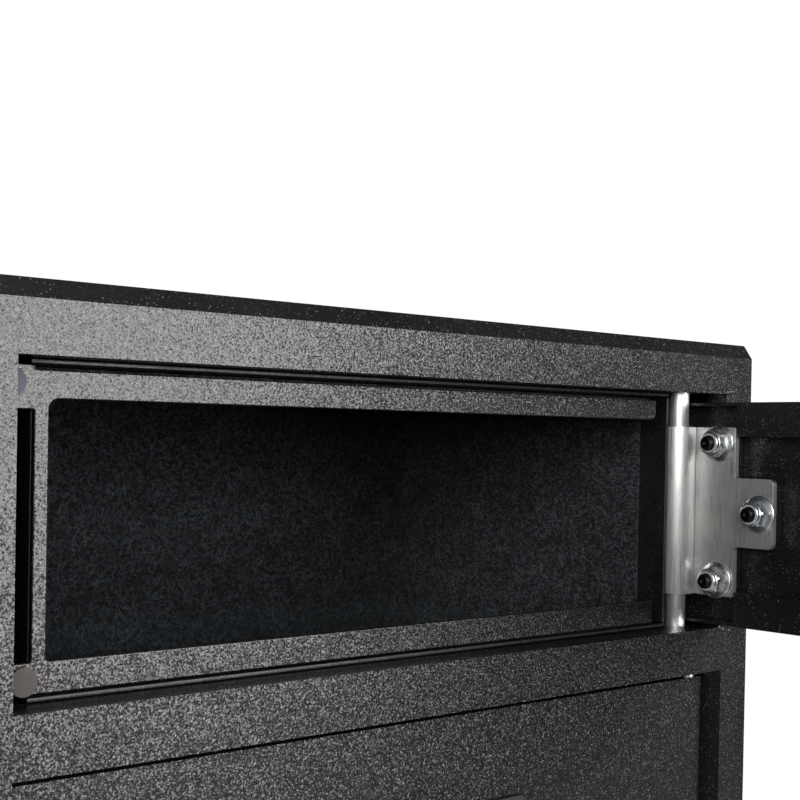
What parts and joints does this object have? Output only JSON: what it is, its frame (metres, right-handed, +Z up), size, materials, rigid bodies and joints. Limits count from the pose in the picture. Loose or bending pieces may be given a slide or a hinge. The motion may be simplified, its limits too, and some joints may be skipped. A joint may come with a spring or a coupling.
{
  "type": "parcel drop box",
  "caption": "Black steel cabinet with a side-hung drop door over a carpet-lined chute and a keypad-locked main door below.",
  "frame": {"origin": "middle of the cabinet's base, on the surface it stands on", "axes": "+Z up, -Y out of the front with the doors, +X towards the hinge side"},
  "size_m": [0.35, 0.6353, 0.5],
  "materials": {
    "powder_coat": "black wrinkle powder coat with a fine leather-like grain",
    "carpet": "charcoal needle-punched carpet with lighter fibres",
    "zinc": "bright zinc plate, softly brushed",
    "steel": "bare satin steel",
    "chrome": "bright plated metal",
    "grey_rubber": "soft grey bumper rubber",
    "black_plastic": "fine-textured black moulding",
    "key_plastic": null
  },
  "bodies": {
    "cabinet": {"front_frame": "powder_coat", "left_side_panel": "powder_coat", "right_side_panel": "powder_coat", "top_panel": "powder_coat", "base_panel": "powder_coat", "back_panel": "powder_coat", "floor_mat": "carpet", "chute_face_plate": "powder_coat", "chute_left_wall": "powder_coat", "chute_right_wall": "powder_coat", "chute_roof": "powder_coat", "chute_shelf": "powder_coat", "chute_back_baffle": "powder_coat", "left_carpet": "carpet", "right_carpet": "carpet", "back_carpet": "carpet", "roof_carpet": "carpet", "upper_bumper": "grey_rubber", "lower_bumper": "grey_rubber", "drop_door_hinge_pin": "zinc"},
    "drop_door": {"drop_door_pan": "powder_coat", "hinge_stud_plate": "steel", "drop_door_hinge_leaf": "zinc", "hinge_nut_1": "zinc", "hinge_nut_2": "zinc", "hinge_nut_3": "zinc", "cam_lock_barrel": "chrome", "cam_lock_nut": "zinc", "pull_knob": "chrome", "pull_knob_screw": "zinc"},
    "lock_cam": {"cam_lock_plug": "chrome", "drop_lock_cam": "zinc"},
    "main_door": {"main_door_plate": "powder_coat", "upper_pivot_pin": "steel", "lower_pivot_pin": "steel", "bolt_guide": "steel", "inner_cover": "powder_coat", "battery_cover": "black_plastic", "lock_solenoid": "steel", "lock_housing": "black_plastic"},
    "boltwork": {"bolt_carriage": "steel", "locking_bolt_1": "chrome", "locking_bolt_2": "chrome", "locking_bolt_3": "chrome"},
    "dial": {"lock_dial": "chrome", "dial_spindle": "steel"},
    "key_1": {"key_1": "key_plastic"},
    "key_2": {"key_2": "key_plastic"},
    "key_3": {"key_3": "key_plastic"},
    "key_4": {"key_4": "key_plastic"},
    "key_5": {"key_5": "key_plastic"},
    "key_6": {"key_6": "key_plastic"},
    "key_7": {"key_7": "key_plastic"},
    "key_8": {"key_8": "key_plastic"},
    "key_9": {"key_9": "key_plastic"},
    "key_10": {"key_10": "key_plastic"},
    "key_11": {"key_11": "key_plastic"},
    "key_12": {"key_12": "key_plastic"}
  },
  "joints": [
    {"name": "drop_door_hinge", "type": "hinge", "parent": "cabinet", "child": "drop_door", "pos_m": [0.1435, -0.1617, 0.4304], "axis": [0, 0, 1], "range_deg": [-90, 0]},
    {"name": "cam_turn", "type": "hinge", "parent": "drop_door", "child": "lock_cam", "pos_m": [0.1435, -0.4367, 0.4296], "axis": [-1, 0, 0], "range_deg": [0, 90]},
    {"name": "main_door_hinge", "type": "hinge", "parent": "cabinet", "child": "main_door", "pos_m": [0.15, -0.1635, 0.192], "axis": [0, 0, 1], "range_deg": [0, 100]},
    {"name": "bolt_slide", "type": "slide", "parent": "main_door", "child": "boltwork", "axis": [-1, 0, 0], "range_m": [0, 0.012]},
    {"name": "dial_turn", "type": "hinge", "parent": "main_door", "child": "dial", "pos_m": [0, -0.182, 0.236], "axis": [0, -1, 0], "range_deg": [0, 90]},
    {"name": "key_1_press", "type": "slide", "parent": "main_door", "child": "key_1", "axis": [0, 1, 0], "range_m": [0, 0.0012], "stiffness_N_per_m": 300, "springref_m": -0.0008},
    {"name": "key_2_press", "type": "slide", "parent": "main_door", "child": "key_2", "axis": [0, 1, 0], "range_m": [0, 0.0012], "stiffness_N_per_m": 300, "springref_m": -0.0008},
    {"name": "key_3_press", "type": "slide", "parent": "main_door", "child": "key_3", "axis": [0, 1, 0], "range_m": [0, 0.0012], "stiffness_N_per_m": 300, "springref_m": -0.0008},
    {"name": "key_4_press", "type": "slide", "parent": "main_door", "child": "key_4", "axis": [0, 1, 0], "range_m": [0, 0.0012], "stiffness_N_per_m": 300, "springref_m": -0.0008},
    {"name": "key_5_press", "type": "slide", "parent": "main_door", "child": "key_5", "axis": [0, 1, 0], "range_m": [0, 0.0012], "stiffness_N_per_m": 300, "springref_m": -0.0008},
    {"name": "key_6_press", "type": "slide", "parent": "main_door", "child": "key_6", "axis": [0, 1, 0], "range_m": [0, 0.0012], "stiffness_N_per_m": 300, "springref_m": -0.0008},
    {"name": "key_7_press", "type": "slide", "parent": "main_door", "child": "key_7", "axis": [0, 1, 0], "range_m": [0, 0.0012], "stiffness_N_per_m": 300, "springref_m": -0.0008},
    {"name": "key_8_press", "type": "slide", "parent": "main_door", "child": "key_8", "axis": [0, 1, 0], "range_m": [0, 0.0012], "stiffness_N_per_m": 300, "springref_m": -0.0008},
    {"name": "key_9_press", "type": "slide", "parent": "main_door", "child": "key_9", "axis": [0, 1, 0], "range_m": [0, 0.0012], "stiffness_N_per_m": 300, "springref_m": -0.0008},
    {"name": "key_10_press", "type": "slide", "parent": "main_door", "child": "key_10", "axis": [0, 1, 0], "range_m": [0, 0.0012], "stiffness_N_per_m": 300, "springref_m": -0.0008},
    {"name": "key_11_press", "type": "slide", "parent": "main_door", "child": "key_11", "axis": [0, 1, 0], "range_m": [0, 0.0012], "stiffness_N_per_m": 300, "springref_m": -0.0008},
    {"name": "key_12_press", "type": "slide", "parent": "main_door", "child": "key_12", "axis": [0, 1, 0], "range_m": [0, 0.0012], "stiffness_N_per_m": 300, "springref_m": -0.0008}
  ],
  "couplings": [
    {"joint": "dial_turn", "follows": "bolt_slide", "rad_per_m": 130}
  ]
}
